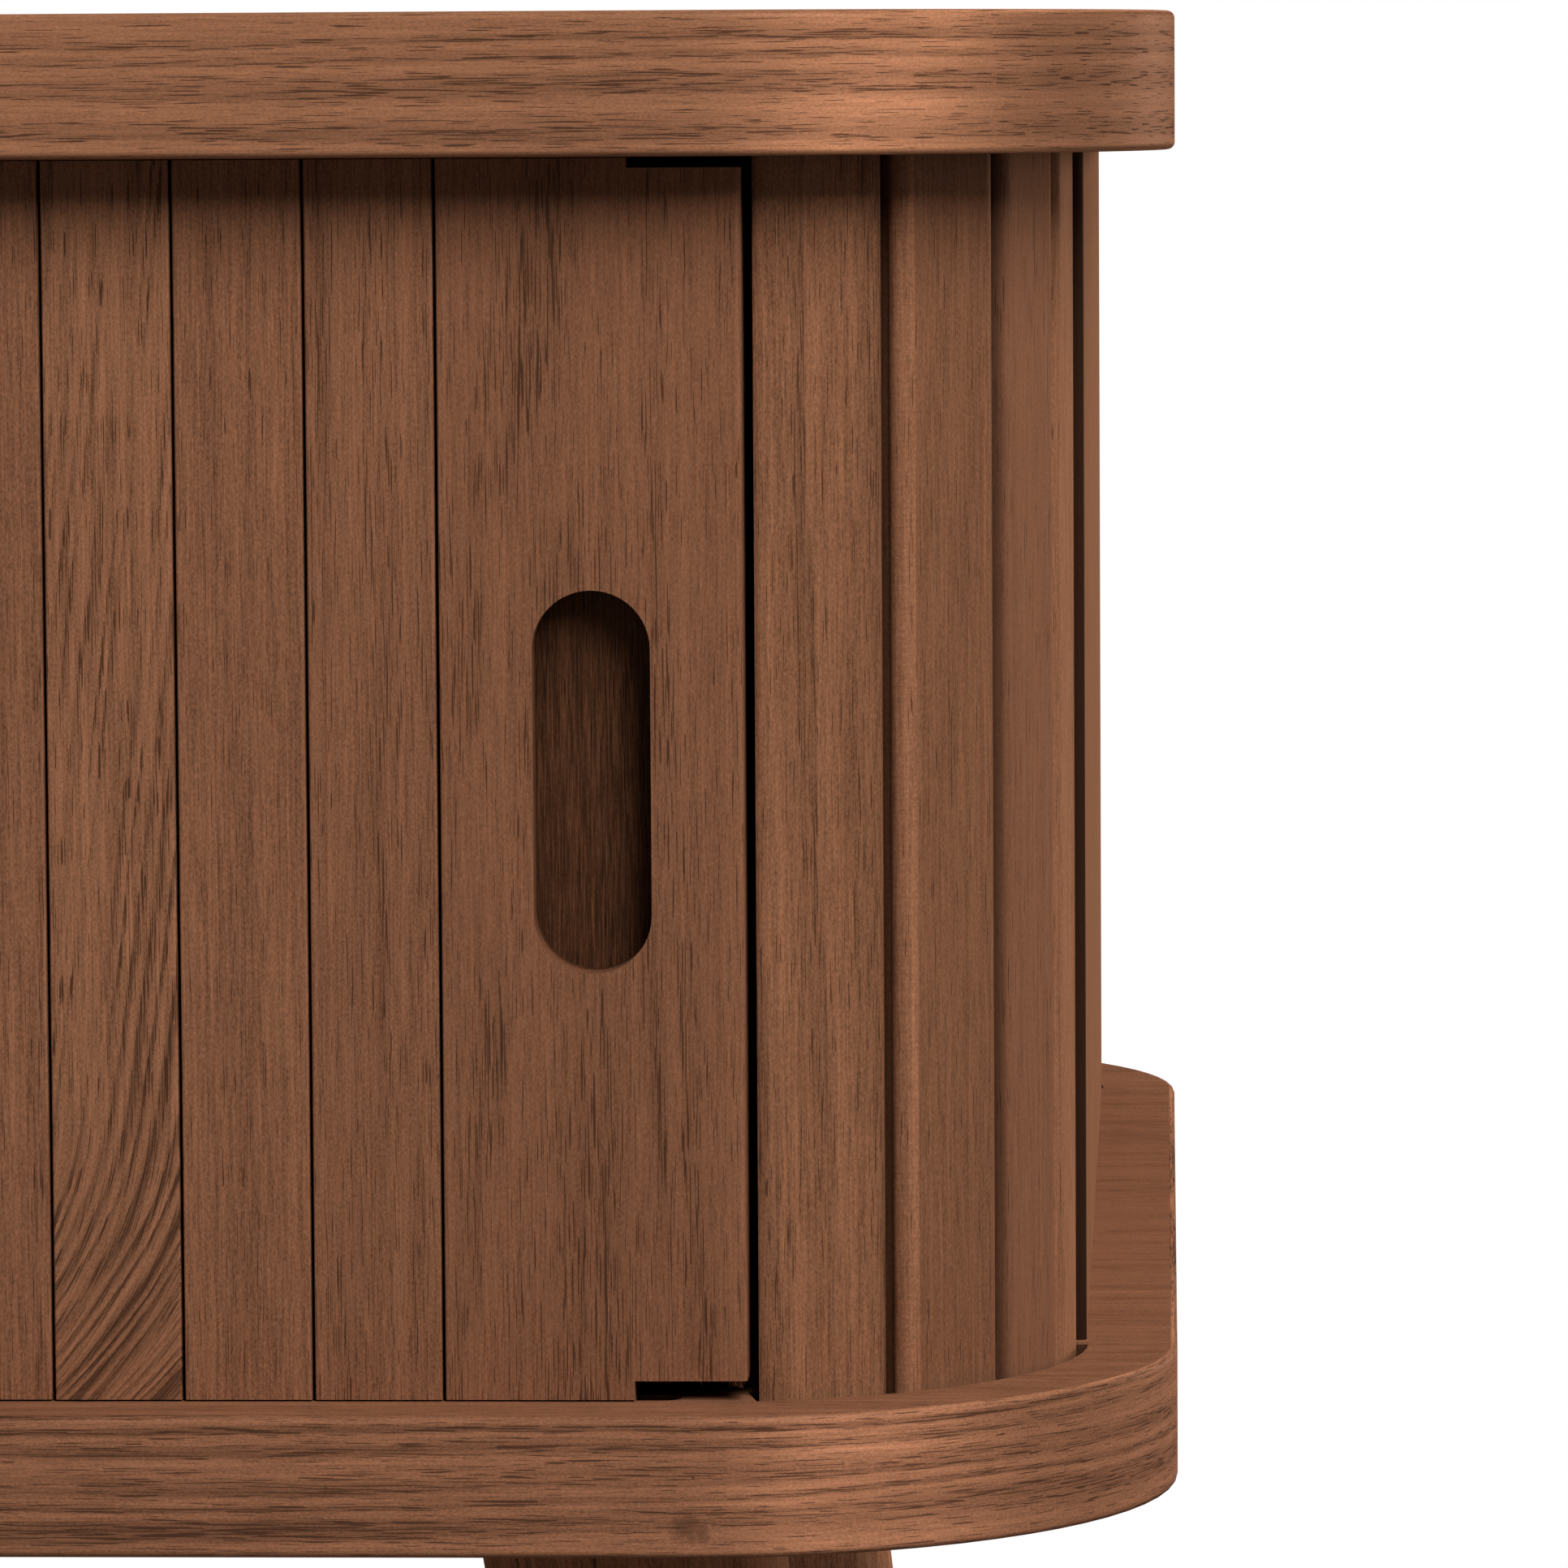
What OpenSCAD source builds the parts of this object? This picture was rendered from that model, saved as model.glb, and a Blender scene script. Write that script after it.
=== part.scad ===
// Bedside table with a sliding tambour door, in millimetres.
// Front faces -Y, +X is to the right, Z = 0 is the floor and X = Y = 0 is the middle of the footprint.

/* [Boards] */
// Width of the top and base boards
board_w = 560; // [520:1:700]
// Depth of the top and base boards
board_d = 500; // [400:1:530]
// Thickness of the top and base boards
board_t = 21.8; // [19:0.1:30]
// Radius of the boards' upright corners, seen from above
corner_r = 76; // [70:1:90]
// Rounding along the boards' upper and lower edges
edge_r = 1.2; // [0.5:0.1:3]
// How far the boards stand out past the body all round
overhang = 14.5; // [12:0.5:18]
// Clear height between the boards
inner_h = 190; // [150:1:260]

/* [Carcass] */
// Thickness of each side panel
side_t = 15; // [12:0.5:18]
// Thickness of the back panel
back_t = 12; // [9:0.5:15]
// Thickness of the upright divider
divider_t = 16; // [13:0.5:20]
// Rounding of the side panels' outer edges
panel_edge_r = 1; // [0.3:0.1:2]
// Thickness of the bent liner behind each corner
liner_t = 4; // [3:0.5:6]
// Angle round the corner at which the liner starts, from the front or the back
liner_start = 16; // [15:1:25]

/* [Corner slats] */
// Number of slats in each corner
corner_slats = 4; // [3:1:5]
// Thickness of a corner slat
corner_slat_t = 8; // [6:0.5:9]
// Rounding of a corner slat's front edges
corner_slat_r = 2.6; // [0.5:0.1:3]
// How far the corner slats stand back from the faces of the door and the side panels
slat_setback = 1.3; // [0:0.1:3]
// Gap between two corner slats at their faces
corner_slat_gap = 1.3; // [1:0.1:3]
// How much narrower each corner slat is than the one before it, counted from the door or the back
slat_step = 1.6; // [0:0.1:2]
// How much wider the gap behind the first slat is than the others
first_gap_wider = 1.9; // [0:0.1:2.5]
// How far the last slat runs past the corner's arc, along the side
slats_past = 0; // [0:0.5:3]
// Gap between the last slat and the side panel's edge
side_gap = 3.6; // [1.5:0.1:4.5]
// Depth of the curved groove that holds the slats' ends
corner_groove_depth = 5; // [3:0.5:7]

/* [Door] */
// Number of narrow slats in the door
door_slats = 8; // [6:1:9]
// Distance from one door slat to the next
door_pitch = 20; // [17:0.5:22]
// Gap between two door slats
door_slat_gap = 0.5; // [0.3:0.1:1]
// Thickness of a door slat
door_slat_t = 9; // [8:0.5:10]
// Rounding of a door slat's front edges
door_slat_r = 0.4; // [0.2:0.1:1]
// Width of the lead stile
stile_w = 46.25; // [38:0.25:50]
// Thickness of the lead stile
stile_t = 14; // [13:0.5:16]
// Rounding of the stile's closing edge
stile_edge_r = 1; // [0.3:0.1:2]
// How far the shut door runs past the front corner's arc
door_past = 10.3; // [8:0.1:12]
// Gap between the shut door and the first corner slat
door_gap = 1.6; // [1.2:0.1:3]
// Gap between the stile's shoulder and each board
door_shoulder = 0.3; // [0.2:0.1:1]
// How far the stile's tongue stops short of its closing edge
tongue_short = 17.25; // [14:0.25:20]
// Cut at the foot of the stile, beyond the tongue
foot_notch = 3.2; // [1:0.1:5]
// Cut at the head of the stile, beyond the tongue
head_notch = 1.8; // [1:0.1:5]
// Thickness of the canvas that joins the slats
canvas_t = 0.8; // [0.5:0.1:1.5]
// Margin of the canvas from the boards
canvas_margin = 8; // [5:1:20]

/* [Door track] */
// Thickness of the tongues at the slats' ends
tongue_t = 5; // [4:0.1:6]
// Step from the slats' faces back to the tongues
tongue_step = 1.7; // [1:0.1:2.5]
// Running gap between the tongues and the groove, on each side and below
track_gap = 0.3; // [0.2:0.05:0.6]
// Depth of the door's groove in the base board
base_track_depth = 6; // [4:0.5:9]
// Depth of the door's groove in the top board
top_track_depth = 9; // [6:0.5:12]
// Height of the tongues at the slats' heads
head_tongue = 5.5; // [3:0.5:6]
// Gap between the stile's back and the divider's front edge
divider_gap = 3; // [2:0.5:6]

/* [Finger pull] */
// Width of the finger pull
pull_w = 18; // [14:0.5:24]
// Length of the finger pull, round ends included
pull_l = 58.5; // [40:0.5:90]
// Depth of the finger pull
pull_depth = 9; // [6:0.5:10]

/* [Legs] */
// Height of the base board's underside above the floor
leg_h = 300; // [150:1:400]
// Diameter of a leg where it meets the base board
leg_top_d = 50; // [36:1:60]
// Diameter of a leg at its foot
leg_foot_d = 28; // [20:1:36]
// Inset of a leg's top centre from the boards' edges
leg_inset = 89.5; // [80:0.5:110]
// Outward lean of a leg, seen from the front and from the side
leg_lean = 8; // [0:0.5:10]
// Thickness of the glide under each foot
glide_t = 3; // [2:0.5:6]
// Diameter of the glide
glide_d = 22; // [14:1:26]

/* [Fastenings] */
// Diameter of the bolt at the head of each leg
bolt_d = 8; // [6:0.5:10]
// Length of the bolt inside the leg
bolt_in_leg = 32; // [20:1:45]
// Length of the bolt inside the base board
bolt_in_board = 15; // [10:0.5:16]
// Diameter of the dowels
dowel_d = 8; // [6:0.5:8]
// Depth of a dowel in a board
dowel_in_board = 12; // [8:0.5:14]
// Depth of a dowel in a panel's end
dowel_in_panel = 18; // [12:1:25]
// Clearance round bolts and dowels, and at their ends
fastening_gap = 0.15; // [0.1:0.05:0.3]
// Distance from a side or back panel's end to its nearest dowel
dowel_margin = 25; // [18:1:40]
// Distance from the divider's ends to its dowels
divider_dowel_margin = 40; // [20:1:60]
// Number of dowels along each end of the back panel
back_dowels = 4; // [3:1:6]

/* [Hidden] */
CORNERS = ["front_right", "front_left", "rear_right", "rear_left"];

$fn = 64;
cut = 1;
touch_gap = 0.3;
groove_end_gap = 0.6;

WALNUT = [0.46, 0.32, 0.23];
WALNUT_DARK = [0.34, 0.22, 0.16];
WALNUT_LIGHT = [0.55, 0.39, 0.28];
BEECH = [0.75, 0.60, 0.42];
CANVAS = [0.22, 0.19, 0.16];
STEEL = [0.62, 0.62, 0.64];
FELT = [0.25, 0.24, 0.23];

// Heights of the boards' faces
base_z = leg_h;
floor_z = base_z + board_t;
ceiling_z = floor_z + inner_h;
top_z = ceiling_z + board_t;

// The body's outer faces, and the centres of its corner arcs
body_x = board_w / 2 - overhang;
body_y = board_d / 2 - overhang;
body_r = corner_r - overhang;
arc_x = board_w / 2 - corner_r;
arc_y = board_d / 2 - corner_r;

// Corner slats, counted from the door or the back panel round to the side panel
slats_r = body_r - slat_setback;
slats_start = asin((door_past + door_gap) / slats_r);
slats_end = 90 + asin(slats_past / slats_r);
gap_angle = corner_slat_gap / slats_r * 180 / PI;
step_angle = slat_step / slats_r * 180 / PI;
first_gap_angle = gap_angle + first_gap_wider / slats_r * 180 / PI;
slats_room = slats_end - slats_start - first_gap_angle - (corner_slats - 2) * gap_angle;
first_angle = slats_room / corner_slats + step_angle * (corner_slats - 1) / 2;
slat_back = slats_r * cos(first_angle / 2) - corner_slat_t;
liner_r = slat_back - touch_gap;
groove_out = body_r + touch_gap;
groove_in = slat_back - touch_gap;
groove_end = slats_end + asin(groove_end_gap / slats_r);
groove_start = slats_start - asin(groove_end_gap / slats_r);
panel_y = arc_y - slats_past - side_gap;

// Door, shut at the right
door_right = arc_x + door_past;
stile_left = door_right - stile_w;
door_left = stile_left - door_slats * door_pitch;
door_slat_w = door_pitch - door_slat_gap;
door_front = -body_y;
slat_back_y = door_front + door_slat_t;
tongue_end = door_right - tongue_short;
tongue_y = door_front + tongue_step;
track_w = tongue_t + 2 * track_gap;
track_y = tongue_y + tongue_t / 2;
door_low = floor_z + door_shoulder;
door_high = ceiling_z - door_shoulder;
tongue_low = floor_z - base_track_depth + track_gap;
tongue_high = ceiling_z + head_tongue;

// The door stops where its tongues' corners come near the groove's round end
track_end_room = (track_w - sqrt(pow(track_w, 2) - pow(tongue_t + track_gap, 2))) / 2;
door_travel = door_left + arc_x - track_end_room;

// The divider's left face lines up with the open door's closing edge
divider_x = door_right - door_travel + touch_gap;
divider_front = door_front + stile_t + divider_gap;

// Legs lean outwards alike to the side and to the front or the back
leg_tilt = atan(sqrt(2) * tan(leg_lean));
leg_x = board_w / 2 - leg_inset;
leg_y = board_d / 2 - leg_inset;
leg_foot_shift = (leg_h - glide_t) * tan(leg_lean);
leg_axis_l = leg_h / cos(leg_tilt);

// Dowels stand along the middle of each panel's thickness
side_dowel_x = body_x - side_t / 2;
side_dowel_y = panel_y - dowel_margin;
back_dowel_x = door_right - dowel_margin;
back_dowel_y = body_y - back_t / 2;
divider_dowel_x = divider_x + divider_t / 2;
dowel_points = concat(
    [for (x = [-side_dowel_x, side_dowel_x], k = [-1, 0, 1]) [x, k * side_dowel_y]],
    [for (i = [0:back_dowels - 1]) [back_dowel_x * (2 * i / (back_dowels - 1) - 1), back_dowel_y]],
    [for (y = [divider_front, body_y - back_t]) [divider_dowel_x, y - sign(y) * divider_dowel_margin]]
);

// Which way a corner lies from the middle
function side_of(c) = (c == 0 || c == 2) ? 1 : -1;
function end_of(c) = c < 2 ? -1 : 1;

// Draws a corner's pieces about its arc's centre: angle 0 looks to the front or back, 90 to the side
module at_corner(c) {
    mirror([side_of(c) > 0 ? 0 : 1, 0, 0])
        mirror([0, end_of(c) < 0 ? 0 : 1, 0])
            translate([arc_x, -arc_y, 0])
                children();
}

// A ring sector of a given section from one angle round to another
module sector(r_in, r_out, h, from, to) {
    rotate([0, 0, from - 90])
        rotate_extrude(angle = to - from)
            translate([r_in, 0]) square([r_out - r_in, h]);
}

// A rectangle whose two front corners, at y = 0, are rounded
module slab_section(w, t, r_left, r_right) {
    difference() {
        square([w, t]);
        square([r_left, r_left]);
        translate([w - r_right, 0]) square([r_right, r_right]);
    }
    translate([r_left, r_left]) circle(r = r_left);
    translate([w - r_right, r_right]) circle(r = r_right);
}

// A board's edge-on section, w wide, with all four corners rounded
module board_section(w) {
    translate([-w / 2 + edge_r, 0]) square([w - 2 * edge_r, board_t]);
    translate([-w / 2, edge_r]) square([w, board_t - 2 * edge_r]);
    for (x = [-w / 2 + edge_r, w / 2 - edge_r], z = [edge_r, board_t - edge_r])
        translate([x, z]) circle(r = edge_r);
}

// The rounded board that both the top and the base are cut from
module board_blank() {
    for (sx = [-1, 1], sy = [-1, 1])
        translate([sx * arc_x, sy * arc_y, 0])
            rotate_extrude() intersection() {
                board_section(2 * corner_r);
                square([corner_r, board_t]);
            }
    translate([-arc_x, 0, 0]) rotate([90, 0, 90]) linear_extrude(2 * arc_x) board_section(board_d);
    translate([0, arc_y, 0]) rotate([90, 0, 0]) linear_extrude(2 * arc_y) board_section(board_w);
}

// The door's straight groove, with the round ends that a cutter leaves
module door_track(depth) {
    end_x = arc_x - track_w / 2;
    translate([-end_x, track_y - track_w / 2, 0]) cube([2 * end_x, track_w, depth]);
    for (x = [-end_x, end_x]) translate([x, track_y, 0]) cylinder(d = track_w, h = depth);
}

// The curved grooves that hold the corner slats' ends
module corner_grooves(depth) {
    for (c = [0:3]) at_corner(c) sector(groove_in, groove_out, depth, groove_start, groove_end);
}

module dowels(z, d, h) {
    for (p = dowel_points) translate([p[0], p[1], z]) cylinder(d = d, h = h);
}

module dowel_bores() {
    gap = 2 * fastening_gap;
    dowels(floor_z - dowel_in_board - gap, dowel_d + gap, dowel_in_board + dowel_in_panel + 2 * gap);
    dowels(ceiling_z - dowel_in_panel - gap, dowel_d + gap, dowel_in_board + dowel_in_panel + 2 * gap);
}

// Places a leg's own axis, with its origin at the middle of the leg's top face
module at_leg(c) {
    mirror([side_of(c) > 0 ? 0 : 1, 0, 0])
        mirror([0, end_of(c) < 0 ? 0 : 1, 0])
            translate([leg_x, -leg_y, base_z])
                rotate([0, leg_tilt, 135])
                    children();
}

module leg_bolt_bore(c) {
    gap = 2 * fastening_gap;
    at_leg(c) translate([0, 0, -bolt_in_leg - gap])
        cylinder(d = bolt_d + gap, h = bolt_in_leg + bolt_in_board + 2 * gap);
}

module top_board() {
    color(WALNUT_LIGHT) difference() {
        translate([0, 0, ceiling_z]) board_blank();
        translate([0, 0, ceiling_z - cut]) door_track(top_track_depth + cut);
        translate([0, 0, ceiling_z - cut]) corner_grooves(corner_groove_depth + cut);
        dowel_bores();
    }
}

module base_board() {
    color(WALNUT_LIGHT) difference() {
        translate([0, 0, base_z]) board_blank();
        translate([0, 0, floor_z - base_track_depth]) door_track(base_track_depth + cut);
        translate([0, 0, floor_z - corner_groove_depth]) corner_grooves(corner_groove_depth + cut);
        dowel_bores();
        for (c = [0:3]) leg_bolt_bore(c);
    }
}

// side is 1 on the right and -1 on the left
module side_panel(side) {
    color(WALNUT) difference() {
        mirror([side > 0 ? 0 : 1, 0, 0])
            translate([body_x, -panel_y, floor_z])
                rotate([0, 0, 90])
                    linear_extrude(inner_h) slab_section(2 * panel_y, side_t, panel_edge_r, panel_edge_r);
        dowel_bores();
    }
}

module back_panel() {
    color(WALNUT) difference() {
        translate([door_right, body_y, floor_z])
            rotate([0, 0, 180])
                linear_extrude(inner_h) slab_section(2 * door_right, back_t, panel_edge_r, panel_edge_r);
        dowel_bores();
    }
}

module divider() {
    color(WALNUT) difference() {
        translate([divider_x, divider_front, floor_z])
            cube([divider_t, body_y - back_t - divider_front, inner_h]);
        dowel_bores();
    }
}

// The bent liner closes the corner behind its slats, up to the side panel's edge
module corner_liner(c) {
    liner_end = 90 + asin((arc_y - panel_y - touch_gap) / liner_r);
    color(WALNUT_DARK) translate([0, 0, floor_z]) at_corner(c)
        sector(liner_r - liner_t, liner_r, inner_h, liner_start, liner_end);
}

// Slat i of a corner, whose sides point at the arc's centre so that the gaps are parallel
module corner_slat(c, i) {
    span = first_angle - (i - 1) * step_angle;
    before = (i - 1) * first_angle - (i - 1) * (i - 2) / 2 * step_angle;
    start = i == 1 ? 0 : before + first_gap_angle + (i - 2) * gap_angle;
    half_w = slats_r * sin(span / 2);
    face = slats_r * cos(span / 2);
    half_back = (face - corner_slat_t) * tan(span / 2);
    low_z = floor_z - corner_groove_depth;
    high_z = ceiling_z + corner_groove_depth - touch_gap;
    color(WALNUT) translate([0, 0, low_z]) at_corner(c) difference() {
        rotate([0, 0, slats_start + start + span / 2]) linear_extrude(high_z - low_z) translate([0, -face]) {
            polygon([
                [-half_w + corner_slat_r, 0], [half_w - corner_slat_r, 0], [half_w, corner_slat_r],
                [half_back, corner_slat_t], [-half_back, corner_slat_t], [-half_w, corner_slat_r]
            ]);
            for (s = [-1, 1]) translate([s * (half_w - corner_slat_r), corner_slat_r]) circle(r = corner_slat_r);
        }
        // The first slat's side is cut straight, to face the door's edge
        if (i == 1) translate([-body_r, -corner_r, -cut])
            cube([body_r + door_past + door_gap, corner_r, high_z - low_z + 2 * cut]);
    }
}

// The tongues above and below a slat or stile, from one side to the other
module tongues(from_x, to_x) {
    translate([from_x, tongue_y, tongue_low])
        cube([to_x - from_x, tongue_t, tongue_high - tongue_low]);
}

module lead_stile() {
    mid_x = (stile_left + door_right) / 2;
    mid_z = (floor_z + ceiling_z) / 2;
    pull_r = pull_w / 2;
    pull_half = pull_l / 2 - pull_r;
    cut_x = tongue_end;
    cut_w = tongue_short + cut;
    color(WALNUT) difference() {
        union() {
            translate([stile_left, door_front, door_low])
                linear_extrude(door_high - door_low)
                    slab_section(stile_w, stile_t, door_slat_r, stile_edge_r);
            tongues(stile_left, tongue_end);
        }
        translate([mid_x - pull_r, door_front - cut, mid_z - pull_half])
            cube([pull_w, pull_depth + cut, 2 * pull_half]);
        for (z = [mid_z - pull_half, mid_z + pull_half])
            translate([mid_x, door_front + pull_depth, z])
                rotate([90, 0, 0]) cylinder(r = pull_r, h = pull_depth + cut);
        translate([cut_x, door_front - cut, floor_z])
            cube([cut_w, stile_t + 2 * cut, foot_notch]);
        translate([cut_x, door_front - cut, ceiling_z - head_notch])
            cube([cut_w, stile_t + 2 * cut, head_notch]);
    }
}

// Door slat i, counted from the stile
module door_slat(i) {
    left = stile_left - i * door_pitch;
    color(WALNUT) {
        translate([left, door_front, door_low])
            linear_extrude(door_high - door_low)
                slab_section(door_slat_w, door_slat_t, door_slat_r, door_slat_r);
        tongues(left, left + door_slat_w);
    }
}

module tambour_canvas() {
    color(CANVAS)
        translate([door_left + door_slat_gap, slat_back_y, floor_z + canvas_margin])
            cube([stile_left - door_left - door_slat_gap, canvas_t, inner_h - 2 * canvas_margin]);
}

module leg(c) {
    reach = leg_top_d;
    slope = (leg_top_d - leg_foot_d) / 2 / leg_axis_l;
    color(WALNUT_DARK) difference() {
        intersection() {
            at_leg(c) translate([0, 0, -leg_axis_l - reach])
                cylinder(
                    r1 = leg_foot_d / 2 - slope * reach,
                    r2 = leg_top_d / 2 + slope * reach,
                    h = leg_axis_l + 2 * reach
                );
            translate([-board_w, -board_d, glide_t]) cube([2 * board_w, 2 * board_d, leg_h - glide_t]);
        }
        leg_bolt_bore(c);
    }
}

module leg_bolts() {
    color(STEEL) for (c = [0:3])
        at_leg(c) translate([0, 0, -bolt_in_leg]) cylinder(d = bolt_d, h = bolt_in_leg + bolt_in_board);
}

module leg_glides() {
    color(FELT) for (c = [0:3])
        translate([
            side_of(c) * (leg_x + leg_foot_shift),
            end_of(c) * (leg_y + leg_foot_shift),
            0
        ]) cylinder(d = glide_d, h = glide_t);
}

module base_dowels() {
    color(BEECH) dowels(floor_z - dowel_in_board, dowel_d, dowel_in_board + dowel_in_panel);
}

module top_dowels() {
    color(BEECH) dowels(ceiling_z - dowel_in_panel, dowel_d, dowel_in_board + dowel_in_panel);
}

top_board();
base_board();
side_panel(1);  // side_panel_right
side_panel(-1);  // side_panel_left
back_panel();
divider();
for (c = [0:3]) {
    corner_liner(c);
    leg(c);
    for (i = [1:corner_slats])
        corner_slat(c, i);
}
lead_stile();
for (i = [1:door_slats])
    door_slat(i);
tambour_canvas();
leg_bolts();
leg_glides();
base_dowels();
top_dowels();
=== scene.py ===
import math
import random

import bpy
from mathutils import Matrix, Vector, noise


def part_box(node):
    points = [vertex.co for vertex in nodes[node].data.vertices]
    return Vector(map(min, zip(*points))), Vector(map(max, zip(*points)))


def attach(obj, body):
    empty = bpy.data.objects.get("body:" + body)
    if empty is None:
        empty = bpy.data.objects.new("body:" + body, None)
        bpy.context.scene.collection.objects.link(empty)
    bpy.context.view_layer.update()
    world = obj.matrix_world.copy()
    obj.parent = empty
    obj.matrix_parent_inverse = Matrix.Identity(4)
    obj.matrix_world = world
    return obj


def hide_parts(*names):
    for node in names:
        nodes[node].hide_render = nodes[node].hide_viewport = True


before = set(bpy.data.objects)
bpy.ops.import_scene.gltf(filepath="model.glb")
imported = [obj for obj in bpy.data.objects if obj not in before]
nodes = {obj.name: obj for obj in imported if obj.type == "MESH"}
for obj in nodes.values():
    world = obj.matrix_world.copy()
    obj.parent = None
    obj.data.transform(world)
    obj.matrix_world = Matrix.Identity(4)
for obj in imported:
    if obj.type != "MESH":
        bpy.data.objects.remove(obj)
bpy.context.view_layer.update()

# ---------------------------------------------------------------- camera
# A long lens looks at the right front corner of the table, a little to the left and down,
# as the photograph does. Its place and its turn are in millimetres and degrees.
PHOTO_SIDE = 1932
LENS_PIXELS = 10628.6
CAMERA_PLACE_MM = (278.05, -1539.6, 523.89)
CAMERA_YAW, CAMERA_PITCH, CAMERA_ROLL = -2.53032, 4.70156, 0.341928
SENSOR_WIDTH = 36.0
NEAREST, FARTHEST = 0.05, 50.0
MM = 0.001

yaw, pitch, roll = (math.radians(a) for a in (CAMERA_YAW, CAMERA_PITCH, CAMERA_ROLL))
ahead = Vector((math.sin(yaw) * math.cos(pitch), math.cos(yaw) * math.cos(pitch), -math.sin(pitch)))
level_right = ahead.cross(Vector((0, 0, 1))).normalized()
level_down = ahead.cross(level_right)
right = level_right * math.cos(roll) + level_down * math.sin(roll)
down = level_down * math.cos(roll) - level_right * math.sin(roll)
camera = bpy.data.objects.new("camera", bpy.data.cameras.new("camera"))
bpy.context.scene.collection.objects.link(camera)
camera.data.sensor_width = SENSOR_WIDTH
camera.data.lens = LENS_PIXELS / PHOTO_SIDE * SENSOR_WIDTH
camera.data.clip_start, camera.data.clip_end = NEAREST, FARTHEST
camera.matrix_world = (
    Matrix.Translation(Vector(CAMERA_PLACE_MM) * MM)
    @ Matrix((right, -down, -ahead)).transposed().to_4x4()
)
bpy.context.scene.camera = camera
bpy.context.scene.view_settings.view_transform = "Standard"

# ---------------------------------------------------------------- studio
# Softboxes stand round the table on a pale floor that fades out into a white room. The main one
# is high in front, and the others keep the sides and the back from going dark.
LIGHT_AIM = Vector((0.0, -0.05, 0.40))
# name: azimuth and elevation in degrees, distance, width and height in metres, watts
SOFTBOXES = {
    "softbox_front": (30, 38, 2.3, 0.9, 1.4, 57.0),
    "softbox_side": (88, 6, 2.3, 0.8, 0.8, 4.5),
    "softbox_rear_right": (135, 6, 2.3, 0.8, 0.8, 42.0),
    "softbox_rear": (200, 34, 2.4, 1.4, 1.2, 16.0),
    "softbox_left": (268, 32, 2.4, 1.2, 1.2, 44.0),
}
ROOM_LIGHT = 0.02
FLOOR_RADIUS, FLOOR_FADE_FROM, FLOOR_FADE_TO = 1.35, 0.75, 1.33
FLOOR_SIDES = 96
FLOOR_SHADE = 0.86
# What the floor throws back up at the table is held down, as a studio does with dark flags
FLOOR_BOUNCE = 0.25


def add_node(tree, kind, feeds=(), **settings):
    """Adds a shader node. feeds maps its sockets to plain values or to other nodes' sockets."""
    made = tree.nodes.new(kind)
    for key, value in settings.items():
        setattr(made, key, value)
    for key, value in dict(feeds).items():
        if isinstance(value, bpy.types.NodeSocket):
            tree.links.new(value, made.inputs[key])
        else:
            made.inputs[key].default_value = value
    return made


def math_of(tree, operation, *values, clamp=False):
    """One Math node's result."""
    return add_node(
        tree, "ShaderNodeMath", dict(enumerate(values)), operation=operation, use_clamp=clamp
    ).outputs[0]


def vector_of(tree, operation, *values, **named):
    """One Vector Math node's vector result."""
    feeds = dict(enumerate(values))
    feeds.update(named)
    return add_node(tree, "ShaderNodeVectorMath", feeds, operation=operation).outputs["Vector"]


def length_of(tree, vector):
    """How long a vector is."""
    return add_node(tree, "ShaderNodeVectorMath", {0: vector}, operation="LENGTH").outputs["Value"]


def axis_of(tree, vector, axis):
    """One of a vector's three parts, by its letter."""
    return add_node(tree, "ShaderNodeSeparateXYZ", {0: vector}).outputs[axis]


def seen_directly(tree):
    """1 for rays from the camera, a gloss or glass, and 0 for those that light the table."""
    ray = add_node(tree, "ShaderNodeLightPath").outputs
    seen = math_of(tree, "MAXIMUM", ray["Is Camera Ray"], ray["Is Glossy Ray"])
    return math_of(tree, "MAXIMUM", seen, ray["Is Transmission Ray"])


def bare_material(name):
    """A new node material with its output alone."""
    material = bpy.data.materials.new(name)
    material.use_nodes = True
    tree = material.node_tree
    tree.nodes.clear()
    return material, tree, add_node(tree, "ShaderNodeOutputMaterial")


for name, (azimuth, elevation, distance, width, height, watts) in SOFTBOXES.items():
    light = bpy.data.objects.new(name, bpy.data.lights.new(name, "AREA"))
    bpy.context.scene.collection.objects.link(light)
    light.data.shape = "RECTANGLE"
    light.data.size, light.data.size_y = width, height
    light.data.energy = watts
    a, e = math.radians(azimuth), math.radians(elevation)
    away = Vector((math.sin(a) * math.cos(e), -math.cos(a) * math.cos(e), math.sin(e)))
    light.location = LIGHT_AIM + away * distance
    light.rotation_mode = "QUATERNION"
    light.rotation_quaternion = away.to_track_quat("Z", "Y")

room = bpy.data.worlds.new("room")
bpy.context.scene.world = room
room.use_nodes = True
tree = room.node_tree
tree.nodes.clear()
dim = add_node(tree, "ShaderNodeBackground", {"Color": (1, 1, 1, 1), "Strength": ROOM_LIGHT})
white = add_node(tree, "ShaderNodeBackground", {"Color": (1, 1, 1, 1), "Strength": 1.0})
mixed = add_node(
    tree, "ShaderNodeMixShader", {0: seen_directly(tree), 1: dim.outputs[0], 2: white.outputs[0]}
)
add_node(tree, "ShaderNodeOutputWorld", {"Surface": mixed.outputs[0]})

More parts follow.
